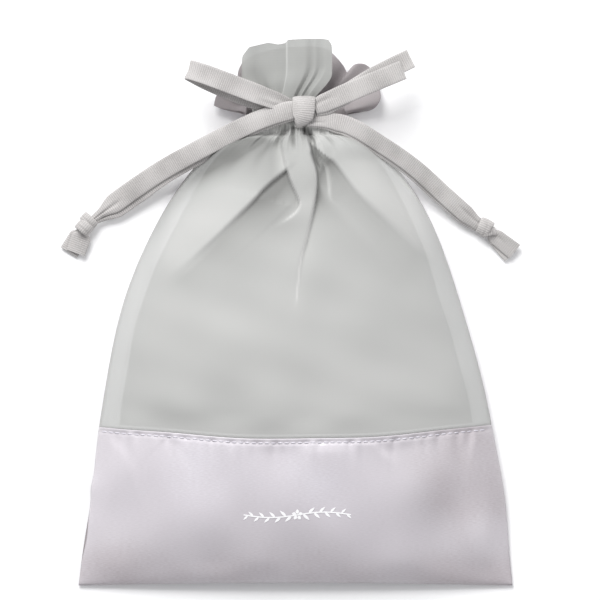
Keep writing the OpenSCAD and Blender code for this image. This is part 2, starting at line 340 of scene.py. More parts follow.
# Drawstrings. One ribbon runs round the neck and comes out at the left, another comes out at the
# right; each shows as two strands, one lying on the other, from the bow down to its stop knot.
STRAND_ROUTES = {
    "left_ribbon_upper": [
        (3.5, 112.2, 29.5), (-3.5, 110.9, 29.7), (-14, 107.9, 29.2), (-26, 103.2, 26.8), (-48, 92.3, 19),
        (-71, 80, 12), (-88, 69, 8), (-104, 57.5, 5.8), (-112, 51.3, 5),
    ],
    "left_ribbon_lower": [
        (3.5, 111.4, 28.7), (-3.5, 109.9, 28.8), (-14, 106.5, 27.9), (-26, 101.7, 24.8), (-48, 90, 16.5),
        (-71, 77.2, 9.5), (-88, 65.2, 5.6), (-104, 54.4, 4), (-112, 50.2, 4),
    ],
    "right_ribbon_upper": [
        (6.5, 105.2, 27.2), (13.5, 104.9, 27.2), (22, 104.7, 27), (31, 102.0, 26.3), (45, 93.8, 23.4),
        (65, 80.3, 15), (83, 64.2, 9), (98, 51.0, 6), (102.5, 48.2, 5.2),
    ],
    "right_ribbon_lower": [
        (6.5, 104.6, 26.2), (13.5, 104.1, 26.2), (22, 103.4, 25.8), (31, 100.4, 24.9), (44, 92.4, 21.8),
        (64, 78.9, 13.4), (82, 63.2, 7.6), (97.2, 50.2, 4.6), (102, 47.4, 4.2),
    ],
}
STRAND_WIDTHS = {
    "left": ((0, 0.8), (0.06, 0.96), (0.5, 1.0), (0.88, 1.0), (0.975, 0.42), (1, 0.35)),
    "right": (
        (0, 0.5), (0.05, 0.55), (0.15, 0.88), (0.4, 0.86), (0.8, 0.9), (0.9, 0.9), (0.98, 0.66), (1, 0.6),
    ),
}
STRAND_ROLLS = {
    "left_ribbon_upper": ((0, 0), (0.35, 4), (0.7, -4), (1, 0)),
    "left_ribbon_lower": ((0, 0), (0.35, -3), (0.7, 3), (1, 0)),
    "right_ribbon_upper": ((0, -8), (0.25, 1), (0.6, -3), (1, 0)),
    "right_ribbon_lower": ((0, -8), (0.2, -4), (0.6, -2), (1, 0)),
}
for node, route in STRAND_ROUTES.items():
    side = node.split("_")[0]
    shape = ribbon_shape(
        route, width=STRAND_WIDTHS[side], roll=STRAND_ROLLS[node],
        crown=((0, 0.6), (0.2, 0.35), (0.85, 0.3), (0.97, 1.3)),
        creases=((0.84, 1.06, 0.15, 1.2, 0.16), (-0.06, 0.1, -0.2, 0.8 if side == "right" else 0.2, 0.2)),
    )
    strand = ribbon_piece(node, None, shape, name=node + "_strand")
    root = Vector(route[1]) * 0.001
    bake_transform(strand)


# Drawstring under the bow. Inside the wrap each drawstring is a short flat stack of two ribbons,
# which slides out when the drawstring is pulled.
for side, tip, root in (
    ("left", (10.0, 112.3), (-3.8, 109.9)), ("right", (0.0, 109.8), (13.6, 107.1)),
):
    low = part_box(side + "_pull_ribbon")[0].z * 1000
    layers = []
    for k in (0, 1):
        z = low + 0.35 + 0.75 * k
        mid = ((tip[0] + root[0]) / 2, (tip[1] + root[1]) / 2, z)
        route = [(*tip, z), mid, (*root, z)]
        layers.append(ribbon_shape(route, width=((0, 0.66), (1, 0.7)), crown=((0, 0.0),)))
    ribbon_piece(side + "_pull_ribbon", side + "_pull", *layers, name=side + "_pull_ribbon_stack")


# Bow. One more length of the same ribbon: it goes round the neck, is tied in a bow with one loop and
# two free ends, cut straight, and its middle is wrapped over everything in a barrel.
LOOP_ROUTE = [
    (-1.0, 113.3, 27.4), (-6, 114.8, 28.4), (-14, 117.4, 30.8), (-28, 122.5, 34), (-42, 127.8, 34.8),
    (-51, 131.1, 33.9), (-57.0, 133.0, 31.9), (-58.8, 133.2, 29.8), (-56.5, 131.8, 27.8), (-48, 127.4, 26.4),
    (-34, 121.4, 25.8), (-18, 115.4, 25.8), (-8, 112.6, 26.0), (-2, 112.2, 26.2),
]
ribbon_piece(
    "bow_loop", "bow_loop",
    ribbon_shape(
        LOOP_ROUTE, side=(0.327, 0.945, 0),
        width=((0, 0.62), (0.1, 0.92), (0.2, 1), (0.8, 1), (0.95, 0.7)),
        crown=((0, 0.7), (0.2, 0.3), (1, 0.3)), creases=((-0.05, 0.2, -0.2, 0.8, 0.25),),
    ),
)
ribbon_piece(
    "bow_end_front", "bow_ends",
    ribbon_shape(
        [(10.3, 112.8, 28.3), (16, 115.2, 28.9), (28, 120.4, 29.8), (42, 126.2, 30.6), (59, 133.2, 30.2)],
        width=((0, 0.78), (0.12, 0.95), (0.3, 1)), roll=((0, 0), (0.5, 3), (1, -2)),
        crown=((0, 0.9), (0.3, 0.3), (1, 0.45)), creases=((-0.1, 0.3, 0.25, 0.8, 0.2),),
    ),
)
ribbon_piece(
    "bow_end_back", "bow_ends",
    ribbon_shape(
        [(10.6, 111.8, 27.2), (18, 114.4, 27.6), (30, 121.4, 28.1), (44, 129.9, 28.4), (63.4, 139.6, 27.8)],
        width=((0, 0.78), (0.12, 0.95), (0.3, 1)), roll=((0, 0), (0.5, -3), (1, 2)),
        crown=((0, 0.6), (0.3, 0.2), (1, -0.3)),
    ),
)
WRAP_ROUTE = [
    (4.6, 112, 24.9), (4.7, 115.6, 24.9), (4.8, 117.8, 26.2), (4.8, 118.1, 28.4), (4.7, 116.6, 30.5),
    (4.6, 113.5, 31.5), (4.4, 109.5, 31.6), (3.6, 106, 30.7), (2.4, 103.4, 28.8), (1.7, 102.1, 26.2),
    (2.2, 103.2, 24.9), (3.6, 106, 24.7), (4.6, 111, 24.7),
]
ribbon_piece(
    "bow_wrap", "pouch",
    ribbon_shape(
        WRAP_ROUTE, side=(1, 0, 0), crown=((0, 0.0), (0.25, 0.5), (0.5, 0.8), (0.7, 0.4), (0.8, 0)),
        width=(
            (0, 1.0), (0.22, 1.15), (0.4, 1.15), (0.52, 1.06), (0.62, 0.68), (0.7, 0.32), (0.8, 0.55),
            (1, 1.0),
        ),
        creases=((0.18, 0.8, -0.72, 0.9, 0.09),),
    ),
)
ribbon_piece(
    "bow_core", "pouch",
    ribbon_shape([(-2, 114, 27.2), (4.5, 113.8, 27.6), (11, 113.4, 27.2)], width=((0, 0.75),)),
)


# Ribbon round the neck. The bow's ribbon goes once round the gathered neck, and each drawstring goes
# round inside the casing. All three are flat loops that follow the neck's pill-shaped section, bunched
# narrow except at the back.
NECK_FLAT, NECK_MIDDLE = 16.0, 12.5
TIE_WIDTHS = ((0, 0.42), (0.36, 0.42), (0.46, 0.92), (0.54, 0.92), (0.64, 0.42), (1, 0.42))


def neck_loop(radius, y):
    """A closed flat loop round the neck, starting under the bow."""
    route = []
    for a in np.radians(np.arange(0, 360, 15) + 90.01):
        side = NECK_FLAT * math.copysign(1, math.cos(a))
        route.append((side + radius * math.cos(a), y, NECK_MIDDLE + radius * math.sin(a)))
    return ribbon_shape([*route, route[0]], side=(0, 1, 0), crown=((0, 0.0),), width=TIE_WIDTHS)


for node, radius, y in (
    ("neck_tie", 11.5, 105.9), ("left_casing_run", 8.25, 105.6), ("right_casing_run", 8.85, 105.6),
):
    ribbon_piece(node, "pouch", neck_loop(radius, y))


# Organza front. One sheer panel of polyester organza runs from the base band up through the casing to
# the free frill. It is gathered by the drawstrings, so pleats start under the bow and fade downwards.
# To the eye it is a grey veil, darker where one layer lies over the inside and paler where it is folded;
# its colour also holds painted light and painted shade along its folds, hollows and gathers.
BOTTOM, CASING, MOUTH = -151.0, 98.0, 112.0
BASE_HALF, GATHERED_HALF, NECK_HALF, NECK_ROUND = 120, 28, 27, 11
FILL, NECK_RISE = 30, 20.4


def half_width(y):
    """Half the width of the pouch as it lies."""
    t = np.clip((np.asarray(y, float) - BOTTOM) / (CASING - BOTTOM), 0, 1)
    return GATHERED_HALF + (BASE_HALF - GATHERED_HALF) * np.maximum(0, 1 - t / 2 - t**3 / 2) ** 0.6


def sway(y):
    """How far the outline leans to one side."""
    y = np.asarray(y, float)
    return -2 * bell(y - 5, 40) + 1.4 * bell(y + 101, 25)


def seam_height(y):
    """Height of the side seams above the table."""
    return 3.1 - 1.9 * ease(y, -84, -146) + 9.4 * ease(y, 66, 99)


def neck_round(reach):
    """The neck's pill-shaped section: 1 over its flat, and down to 0 at its side."""
    out = np.clip((np.abs(reach) - NECK_FLAT) / NECK_ROUND, 0, 1)
    return np.sqrt(1 - out**2)


def off_seam(u, wide):
    """0 on a side seam, and 1 from this share of the half width inwards."""
    return ease(1 - np.abs(u), 0, wide)


def filled_front(u, y):
    """Height of the filled front, u = -1 at the left seam and 1 at the right."""
    t = np.clip((y - BOTTOM) / (CASING - BOTTOM), 0, 1)
    crown = seam_height(np.minimum(y, 0)) + FILL * np.sqrt(np.maximum(0, 4 * t * (1 - t))) + NECK_RISE * t
    dome = np.maximum(0, 1 - u**2) ** 0.6
    gathered = ease(y, 82, 99)
    seam = seam_height(y)
    return seam + (crown - seam) * (dome * (1 - gathered) + neck_round(u * NECK_HALF) * gathered)


def band_top(u):
    """The line of the base band's upper edge."""
    return -69.3 + (7.0 + 0.5 * u) * np.abs(u) ** 1.7 + 0.35 * np.sin(9 * u + 1)


def beside_line(x, y, line):
    """Distance from a line, positive to its left, and the share of its length, at each point."""
    p = smooth_path([(*q, 0) for q in line], 2.0)[0][:, :2]
    near, share = np.full(x.shape, 1e9), np.zeros(x.shape)
    for i, (a, b) in enumerate(zip(p, p[1:])):
        d = b - a
        t = np.clip(((x - a[0]) * d[0] + (y - a[1]) * d[1]) / (d @ d), 0, 1)
        dx, dy = x - a[0] - t * d[0], y - a[1] - t * d[1]
        gap = np.hypot(dx, dy)
        closer = gap < np.abs(near)
        near = np.where(closer, np.where(d[0] * dy - d[1] * dx >= 0, gap, -gap), near)
        share = np.where(closer, (i + t) / (len(p) - 1), share)
    return near, share


def folds(x, y, pleats, pinches):
    """Height that pleats and pinches add. A pleat is (line, low side, depth at its start and end, how
    far the cloth takes to come back up, wall); a pinch is (line, depth, half width)."""
    z = np.zeros(x.shape)
    for line, low, depth, far, wall in pleats:
        n, share = beside_line(x, y, line)
        n = n * low
        wide = wall * (1 + share)
        drop = ease(n / wide, -0.5, 0.5)
        fade = ease(share, 1.0, 0.6) * ease(share, 0.0, 0.06)
        size = (depth[0] + (depth[1] - depth[0]) * share) * fade
        z += size * ((1 - drop) * 0.35 * bell(n, 7) - drop * np.exp(-np.maximum(n, 0) / far))
    for line, depth, spread in pinches:
        n, share = beside_line(x, y, line)
        fade = ease(share, 1.0, 0.4) * ease(share, -0.02, 0.1)
        z -= depth * fade * bell(n, spread)
    return z


# The folds that the gathering makes, each the line of an edge from the bow down.
TONGUE_RIGHT = ((2.5, 102), (7, 95), (11, 79), (11.6, 68), (9.7, 55), (6.4, 40), (3, 27), (0.3, 1.4))
TONGUE_LEFT = (
    (-1.4, 102), (-7.5, 94.3), (-6.6, 85.7), (-3, 72.7), (1.9, 61.4), (1.8, 57.8), (-1.9, 53.4), (-8.6, 49),
)
LEFT_PANEL = (
    (2, 84), (-5.2, 77.7), (-11.3, 72.7), (-17.4, 67.2), (-22.4, 61.7), (-29.6, 54.5), (-36, 48.3),
    (-47, 37.6), (-61.8, 24.3), (-80, 10.9),
)
RIGHT_PANEL = ((17, 86), (22.7, 80.8), (34, 66), (49, 51.9), (66, 37), (82, 26))
SMALL_LOBE = ((9, 100), (11.5, 88), (16.8, 80.5), (18.4, 71.6), (19.4, 62), (25.7, 57.9))
LEFT_HOLLOW = ((-18.2, 97.6), (-42, 83), (-63.9, 68.7), (-75.9, 44.7), (-83.1, 15.8))
TONGUE_PLEATS = ((TONGUE_RIGHT, 1, (4, 0.7), 7, 1.4), (TONGUE_LEFT, -1, (4.5, 1.0), 10, 1.5))
PANEL_PLEATS = (
    (LEFT_PANEL, 1, (3.2, 0.4), 24, 2.5),
    (SMALL_LOBE, -1, (3, 0.8), 4, 1.5),
    (RIGHT_PANEL, -1, (2.4, 0.4), 20, 3.5),
)
PINCHES = (
    (((-1.2, 103), (-1.3, 97), (-1.2, 92.5), (-0.4, 88)), 3.0, 1.0),
    (((4.6, 103), (4.9, 97.5), (5.3, 94)), 3.2, 1.0),
    (((6.4, 101), (9.3, 95.5), (11.8, 91.2)), 3.2, 1.1),
    (((8.6, 88), (10.2, 83.5), (12.6, 79), (13.6, 75)), 2.8, 1.2),
    (((13, 101), (18, 96), (24, 91)), 1.4, 1.4),
    (((-6, 102), (-9.6, 93), (-10.5, 88)), 2.4, 1.3),
    (((-12, 101), (-17, 96), (-24, 91), (-32, 87)), 1.0, 2.0),
    (LEFT_HOLLOW, 1.6, 7.0),
)


def on_tongue(x, y):
    """1 on the middle pleat, which lies over the pleats beside it."""
    right_n = beside_line(x, y, TONGUE_RIGHT)[0]
    left_n = beside_line(x, y, TONGUE_LEFT)[0]
    return ease(right_n, 0.5, -0.5) * ease(left_n, -0.5, 0.6) * ease(y, 44, 60) * ease(y, 106, 102)


# Gathers painted with shade along the cloth: (start, end, how much). Broad patches painted paler or
# darker, painted light and painted shade: (x, y, half width, half height, how much).
PAINTED_GATHER_SHADES = (
    ((-14, 99), (-44, 70), 0.10), ((-22, 97), (-58, 68), 0.12), ((-9, 96), (-26, 72), 0.12),
)
LIGHT_AND_SHADE_PATCHES = (
    (-35, -3, 42, 15, 0.10), (37, -38, 46, 13, 0.10), (35, -8, 26, 7, -0.05), (-38, -55, 38, 7, -0.12),
    (-74, -52, 14, 9, -0.10), (70, -57, 34, 6, -0.05), (0, 8, 4, 12, 0.06), (60, 86, 20, 10, -0.05),
    (8, -52, 34, 12, 0.08), (-16, 99.5, 11, 3.5, 0.35), (22, 99.5, 9, 3, 0.15), (60, 15, 26, 14, -0.05),
)


def bent_line(start, end, bow):
    """A line from start to end whose middle stands aside by bow."""
    return (start, ((start[0] + end[0]) / 2 - bow, (start[1] + end[1]) / 2 + bow), end)


def layers_and_painted_shade(x, y):
    """How pale the sheer cloth is painted, from 0 to 1: partly how doubled it is, from one layer over the
    dark inside to folded on itself, and partly painted light and painted shade of its folds and gathers.
    """
    tone_with_painted_shade = np.full(x.shape, 0.57)
    n, s = beside_line(x, y, LEFT_PANEL)
    fade = ease(s, 0.0, 0.06) * ease(s, 1.0, 0.8)
    # Painted light on the left panel, and painted shade below its edge.
    tone_with_painted_shade += 0.16 * bell(n + 15, 13) * ease(s, 1.0, 0.75)
    crisp = 0.7 + 9 * ease(s, 0.2, 0.9)
    tone_with_painted_shade -= (0.72 - 0.58 * s) * ease(n / crisp, -0.4, 0.6) * np.exp(-np.maximum(n, 0) / 20) * fade
    n, s = beside_line(x, y, RIGHT_PANEL)
    # Painted light on the right panel, and painted shade beside its edge.
    tone_with_painted_shade += 0.18 * bell(n - 13, 13) * ease(s, 1.0, 0.7)
    crisp = 0.8 + 6 * s
    fade = ease(s, 1.0, 0.8)
    tone_with_painted_shade -= (0.46 - 0.32 * s) * ease(n / crisp, 0.4, -0.6) * np.exp(-np.maximum(-n, 0) / 16) * fade
    right_n, right_s = beside_line(x, y, TONGUE_RIGHT)
    left_n, left_s = beside_line(x, y, TONGUE_LEFT)
    # Painted shade beside the middle pleat's right edge.
    tone_with_painted_shade -= 0.60 * ease(right_n, -0.4, 0.4) * np.exp(-np.maximum(right_n, 0) / 5) * ease(right_s, 0.6, 0.22)
    # The middle pleat gets a tone of its own, paler where it is doubled and darker towards its lower end.
    tongue = on_tongue(x, y)
    tone_with_painted_shade = tone_with_painted_shade * (1 - tongue) + (0.56 - 0.20 * ease(y, 52, 72)) * tongue
    # Pale lines with a painted highlight along the edges of the middle pleat and the small lobe.
    tone_with_painted_shade += 0.6 * bell(right_n + 0.3, 0.5) * ease(right_s, 0.12, 0.3) * ease(right_s, 1, 0.9)
    tone_with_painted_shade += 0.45 * bell(left_n - 0.3, 0.5) * ease(left_s, 0.12, 0.3) * ease(left_s, 1, 0.85)
    n, s = beside_line(x, y, SMALL_LOBE)
    tone_with_painted_shade += 0.34 * bell(n, 0.7) * ease(s, 0.1, 0.3) * ease(s, 1, 0.6)
    # Painted shade in the hollow at the left, and near the neck on both sides of the bow.
    n, s = beside_line(x, y, LEFT_HOLLOW)
    tone_with_painted_shade -= 0.20 * bell(n, 6) * ease(s, 1, 0.7)
    tone_with_painted_shade -= 0.46 * ease(y, 50, 88) * ease(y, 101, 94) * ease(x, -4, -14)
    tone_with_painted_shade -= 0.22 * ease(y, 70, 92) * ease(y, 101, 96) * ease(x, 12, 20)
    # Painted shade along the gathers.
    for start, end, much in PAINTED_GATHER_SHADES:
        n, s = beside_line(x, y, bent_line(start, end, 2))
        tone_with_painted_shade -= much * bell(n, 1.2 + 2.5 * s) * ease(s, 0, 0.15) * ease(s, 1, 0.4)
    # Painted light and painted shade in broad patches.
    for px, py, wide, tall, much in LIGHT_AND_SHADE_PATCHES:
        tone_with_painted_shade += much * bell(x - px, wide) * bell(y - py, tall)
    # Painted shade in the pinches.
    for line, depth, spread in PINCHES[:7]:
        n, s = beside_line(x, y, line)
        tone_with_painted_shade -= 0.34 * depth / 3 * ease(s, 1, 0.5) * bell(n, 0.8 * spread)
    return np.clip(tone_with_painted_shade, 0, 1)


def smoothed(values, width):
    """A row of values, evened out over an odd number of places."""
    kernel = np.hanning(width) / np.hanning(width).sum()
    return np.convolve(np.pad(values, width // 2, "edge"), kernel, "valid")


def curve_through(stops, x):
    """Smooth values through (place, value) stops."""
    places, values = np.array(stops, float).T
    fine = np.linspace(places[0], places[-1], 400)
    return np.interp(x, fine, smoothed(np.interp(fine, places, values), 15))


def ripple(x, y, seed, wave, size):
    """Smooth random unevenness of handled cloth."""
    rng = np.random.default_rng(seed)
    z = np.zeros(np.broadcast(x, y).shape)
    for _ in range(14):
        turn, phase = rng.uniform(0, 2 * math.pi, 2)
        k = 2 * math.pi / (wave * rng.uniform(0.7, 1.6))
        z += np.sin(k * (x * math.cos(turn) + y * math.sin(turn)) + phase)
    return z * size / 3.7


organza, tree = new_material("organza_sheer_woven_polyester")
cloth = add(tree, "ShaderNodeUVMap", uv_map="cloth_mm")
spacing = 0.9  # the real threads are 0.15 mm apart, too fine to show, so they are drawn this coarse
rows_of_thread = {"Vector": cloth.outputs[0], "Scale": 1 / spacing / BANDS_PER_UNIT, "Distortion": 0.6}
weft = add(tree, "ShaderNodeTexWave", rows_of_thread, wave_type="BANDS", bands_direction="X")
warp = add(tree, "ShaderNodeTexWave", rows_of_thread, wave_type="BANDS", bands_direction="Y")
weave = add(tree, "ShaderNodeMath", {0: weft.outputs["Fac"], 1: warp.outputs["Fac"]}, operation="MAXIMUM")
# The dye is uneven in clouds 33 mm wide.
cloud = add(tree, "ShaderNodeTexNoise", {"Vector": cloth.outputs[0], "Scale": 0.03, "Detail": 2.0})
blend = add(tree, "ShaderNodeMath", {0: weave.outputs[0], 1: cloud.outputs["Fac"]}, operation="ADD")
half = add(tree, "ShaderNodeMath", {0: blend.outputs[0], 1: 0.5}, operation="MULTIPLY")
# The value read here is the cloth's layering together with painted light and painted shade.
layers = add(tree, "ShaderNodeAttribute", attribute_name="cloth_layers_and_painted_shade")
thin = add(tree, "ShaderNodeMath", {0: half.outputs[0], 1: 0.07}, operation="MULTIPLY")
seen = add(tree, "ShaderNodeMath", {0: layers.outputs["Fac"], 1: thin.outputs[0]}, operation="ADD")
# The dark end is painted shade: the shaded inside seen through a single layer.
VEIL = ((0.0, "80817e"), (0.25, "abaca9"), (0.55, "cacbc8"), (1.0, "e2e2df"))
colour = add(tree, "ShaderNodeValToRGB", {"Fac": seen.outputs[0]}, VEIL)
grain = add(tree, "ShaderNodeBump", {"Height": weave.outputs[0], "Strength": 0.15, "Distance": 0.0001})
finish_surface(tree, {
    "Base Color": colour.outputs["Color"], "Normal": grain.outputs[0], "Roughness": 0.55,
    "Specular IOR Level": 0.3, "Alpha": 0.74, "Sheen Weight": 0.2, "Sheen Roughness": 0.4,
})
organza_doubled = organza.copy()
organza_doubled.name = "organza_folded_double"
organza_doubled.node_tree.nodes["Principled BSDF"].inputs["Alpha"].default_value = 0.93


def cloth_piece(name, x, y, z, cut_x, material):
    """A sheet from a grid of places; its cloth coordinates are cut_x across and y along."""
    return mesh_piece(name, np.stack([x, y, z], -1), grid_faces(*x.shape), np.stack([cut_x, y], -1), material)


def paint(piece, name, values):
    """A value at each vertex, which the material reads."""
    layer = piece.data.attributes.new(name, "FLOAT", "POINT")
    layer.data.foreach_set("value", values.ravel().astype(np.float32))


TUCKED = 6.0
columns = 241
c = np.linspace(-1, 1, columns)
across = 0.6 * c + 0.4 * np.sin(c * math.pi / 2)  # closer together towards the seams
body_v = np.linspace(0, 1, 134)[:, None]
low = band_top(across)[None] - TUCKED
body_y = low + body_v * (CASING - low)
casing_y = np.repeat(np.linspace(CASING, MOUTH, 12)[1:, None], columns, 1)
FREE_EDGE = np.array([
    (-1, -29.6, 136), (-0.92, -29.2, 141), (-0.78, -25.5, 146), (-0.6, -19.6, 147.4), (-0.45, -15, 148.4),
    (-0.25, -9.5, 147.5), (-0.12, -5.6, 148.2), (-0.07, -4.2, 150.0), (0.3, 5.5, 150.6), (0.7, 14.8, 150.6),
    (0.86, 18.2, 150.0), (0.96, 20.0, 147), (1, 20.2, 143.5),
])
frill_v = np.linspace(0, 1, 34)[1:, None]
edge_x = curve_through(FREE_EDGE[:, [0, 1]], across)[None]
edge_y = curve_through(FREE_EDGE[:, [0, 2]], across)[None]
frill_y = MOUTH + frill_v * (edge_y - MOUTH)
front_y = np.vstack([body_y, casing_y, frill_y])
u = np.repeat(across[None], len(front_y), 0)
left = np.interp(front_y, (0, 98, 105, 112, 118), (0, -28, -26, -23.5, -22))
right = np.interp(front_y, (0, 98, 103, 112, 118), (0, 28, 26.5, 14, 9.6))
body_x = sway(front_y) + u * half_width(front_y)
bent_x = (left + right) / 2 + u * (right - left) / 2
x = np.where(front_y <= CASING, body_x, bent_x)
fan = np.vstack([np.zeros((len(body_y) + len(casing_y), 1)), ease(frill_v, 0.12, 0.62) ** 0.8])
x = x * (1 - fan) + edge_x * fan
z = filled_front(u, front_y)
gathers = ease(front_y, 84, 102) * ease(front_y, 116, 103)
comb = np.sin(u * 41 + 1) + 0.8 * np.sin(u * 67 + 2.2) + 0.6 * np.sin(u * 97)
z = z + gathers * (0.2 + 0.25 * ease(np.abs(u), 0.5, 0.25)) * comb
z = z + 1.9 * ease(front_y, 94, 99) * ease(front_y, 106.5, 104.5) * off_seam(u, 0.3)
below_bow = ease(front_y, 107, 104)
z = z + folds(x, front_y, PANEL_PLEATS, PINCHES) * below_bow * (1 - 0.85 * on_tongue(x, front_y))
z = z + folds(x, front_y, TONGUE_PLEATS, PINCHES[:2]) * below_bow
above_band = ease(front_y - band_top(u), 1, 14)
z = z + ripple(x, front_y, 3, 34, 0.5) * off_seam(u, 0.12) * ease(front_y, 110, 90) * above_band
FLUTES = (
    (-1, -0.5), (-0.85, 1.2), (-0.68, -1.8), (-0.5, 0.2), (-0.3, 1.0), (-0.15, 0.2), (-0.12, -0.2),
    (-0.08, 2.2), (0.1, 2.0), (0.3, 1.2), (0.42, -2.4), (0.53, 1.2), (0.63, -1.2), (0.78, 1.6), (1, 0.6),
)
v = np.clip((front_y - MOUTH) / (edge_y - MOUTH), 0, 1)
flute = smoothed(np.interp(across, *np.array(FLUTES).T), 9)[None]
frill_z = 20.3 + 1.2 * v + 0.6 * flute * (ease(v, 0, 0.15) * (1 - 0.7 * ease(v, 0.25, 0.8)))
frill_z = frill_z + ripple(x, front_y, 5, 16, 0.15) * ease(v, 0.1, 0.4)
on_frill = ease(front_y, 106, 115)
z = z * (1 - on_frill) + frill_z * on_frill
z = z - 2.4 * ease(front_y - band_top(u), 0.8, -2.5)
front_organza = cloth_piece("front_organza_panel", x, front_y, z, u * BASE_HALF, organza)
# Painted shade along the frill's creases: (start, end, how much).
FRILL_CREASE_SHADES = (
    ((-18.5, 133), (-12, 114), 0.12), ((7.2, 126), (5, 114), 0.16), ((13, 126), (7, 114), 0.12),
    ((-24, 126), (-15, 114), 0.07), ((1, 124), (1.6, 114), 0.08),
)
# The frill's tone: painted light on the flutes and painted shade between them, and a pale line where the
# cloth overlaps.
frill_tone_and_shade = 0.13 + 0.03 * flute * ease(v, 0, 0.1) * (1 - 0.6 * v) + 0.22 * bell(u + 0.09, 0.012)
for start, end, much in FRILL_CREASE_SHADES:
    n, share = beside_line(x, front_y, bent_line(start, end, 0))
    frill_tone_and_shade = frill_tone_and_shade - much * ease(share, 0, 0.8) * bell(n, 1.8 - 0.8 * share)
tone_with_painted_shade = layers_and_painted_shade(x, front_y) * (1 - on_frill) + on_frill * frill_tone_and_shade
paint(front_organza, "cloth_layers_and_painted_shade", np.clip(tone_with_painted_shade, 0, 1))
front_organza.data.materials.append(organza_doubled)
above_casing = (len(body_y) + len(casing_y) - 2) * (columns - 1)
for face in front_organza.data.polygons:
    face.material_index = int(face.index >= above_casing)
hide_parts("front_window", "front_casing", "front_frill")
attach(front_organza, "pouch")


# Base band. It and the back are polyester satin: a smooth, softly shining weave whose long floats run
# across the pouch, so its highlights are broad and its folds soft. The band's top edge is folded in and
# topstitched, which puckers it. Its colour also holds painted light and shade: paler in the middle,
# darker towards the bottom and to the right.
SATIN_THICK = 0.25

satin, tree = new_material("satin_woven_polyester")
cloth = add(tree, "ShaderNodeUVMap", uv_map="cloth_mm")
# The floats show 2.4 mm long and 0.4 mm wide, and the dye has clouds 50 mm wide.
stretch = add(tree, "ShaderNodeMapping", {"Vector": cloth.outputs[0], "Scale": (0.35, 2.2, 1.0)})
floats = add(tree, "ShaderNodeTexNoise", {"Vector": stretch.outputs[0], "Scale": 1.2, "Detail": 5.0})
dye = add(tree, "ShaderNodeTexNoise", {"Vector": cloth.outputs[0], "Scale": 0.02, "Detail": 2.0})
tone = add(tree, "ShaderNodeMath", {0: floats.outputs["Fac"], 1: dye.outputs["Fac"]}, operation="ADD")
half = add(tree, "ShaderNodeMath", {0: tone.outputs[0], 1: 0.5}, operation="MULTIPLY")
# The band's painted light and shade, read from each vertex, is added to the satin's tone.
painted_light_and_shade = add(tree, "ShaderNodeAttribute", attribute_name="band_painted_light_and_shade")
floats_dye_and_painted_shade = add(tree, "ShaderNodeMath", {0: half.outputs[0], 1: painted_light_and_shade.outputs["Fac"]}, operation="ADD")
LILAC = ((0.05, "b5adb0"), (0.35, "ccc7cb"), (0.65, "d8d3d8"), (1.0, "eeebf1"))
colour = add(tree, "ShaderNodeValToRGB", {"Fac": floats_dye_and_painted_shade.outputs[0]}, LILAC)
nap = add(tree, "ShaderNodeBump", {"Height": floats.outputs["Fac"], "Strength": 0.12, "Distance": 0.0001})
finish_surface(tree, {
    "Base Color": colour.outputs["Color"], "Normal": nap.outputs[0], "Roughness": 0.36,
    "Specular IOR Level": 0.55, "Sheen Weight": 0.1, "Sheen Roughness": 0.3,
})

shaded_satin_reverse, tree = new_material("satin_reverse_painted_shade")
cloth = add(tree, "ShaderNodeUVMap", uv_map="cloth_mm")
# The picks of the reverse show 0.7 mm apart.
picks = add(tree, "ShaderNodeTexNoise", {"Vector": cloth.outputs[0], "Scale": 1.4, "Detail": 4.0})
# Painted shade: the reverse is coloured far darker than the satin, for the shade inside and under the bow.
colour = add(tree, "ShaderNodeValToRGB", {"Fac": picks.outputs["Fac"]}, ((0.35, "958f90"), (0.65, "a09a9b")))
finish_surface(tree, {"Base Color": colour.outputs["Color"], "Roughness": 0.7})


def turn_up_shaded_reverse(piece):
    """Shows the matt reverse of the satin on the side that faces up, inside the pouch, painted dark as
    painted shade.
    """
    piece.data.materials.append(shaded_satin_reverse)
    for face in piece.data.polygons:
        face.material_index = int(face.normal.z > 0)


def thicken(piece, thickness, offset=-1.0):
    """Gives a sheet its real thickness, in millimetres, and applies it."""
    modifier = piece.modifiers.new("cloth_thickness", "SOLIDIFY")
    modifier.thickness = thickness * 0.001
    modifier.offset = offset
    bpy.context.view_layer.update()
    made = bpy.data.meshes.new_from_object(piece.evaluated_get(bpy.context.evaluated_depsgraph_get()))
    piece.modifiers.clear()
    piece.data = made


def surface_of(piece):
    """Looks down on a piece: gives its height and normal in millimetres at a place on it."""
    places = [v.co * 1000 for v in piece.data.vertices]
    tree = BVHTree.FromPolygons(places, [list(p.vertices) for p in piece.data.polygons])

    def at(px, py):
        hit = tree.ray_cast(Vector((px, py, 200)), Vector((0, 0, -1)))
        if hit[0] is None:
            return None
        normal = hit[1] if hit[1].z > 0 else -hit[1]
        return hit[0], normal

    return at


BAND_HEM, SEAM_CURVE = 2.3, 1.6


def satin_grid(rows):
    """Shares up the cloth, shares across it, and the curved line of the bottom seam."""
    w = np.linspace(0, 1, rows)[:, None]
    return w, np.repeat(across[None], rows, 0), BOTTOM + SEAM_CURVE * (1 - across[None] ** 2)


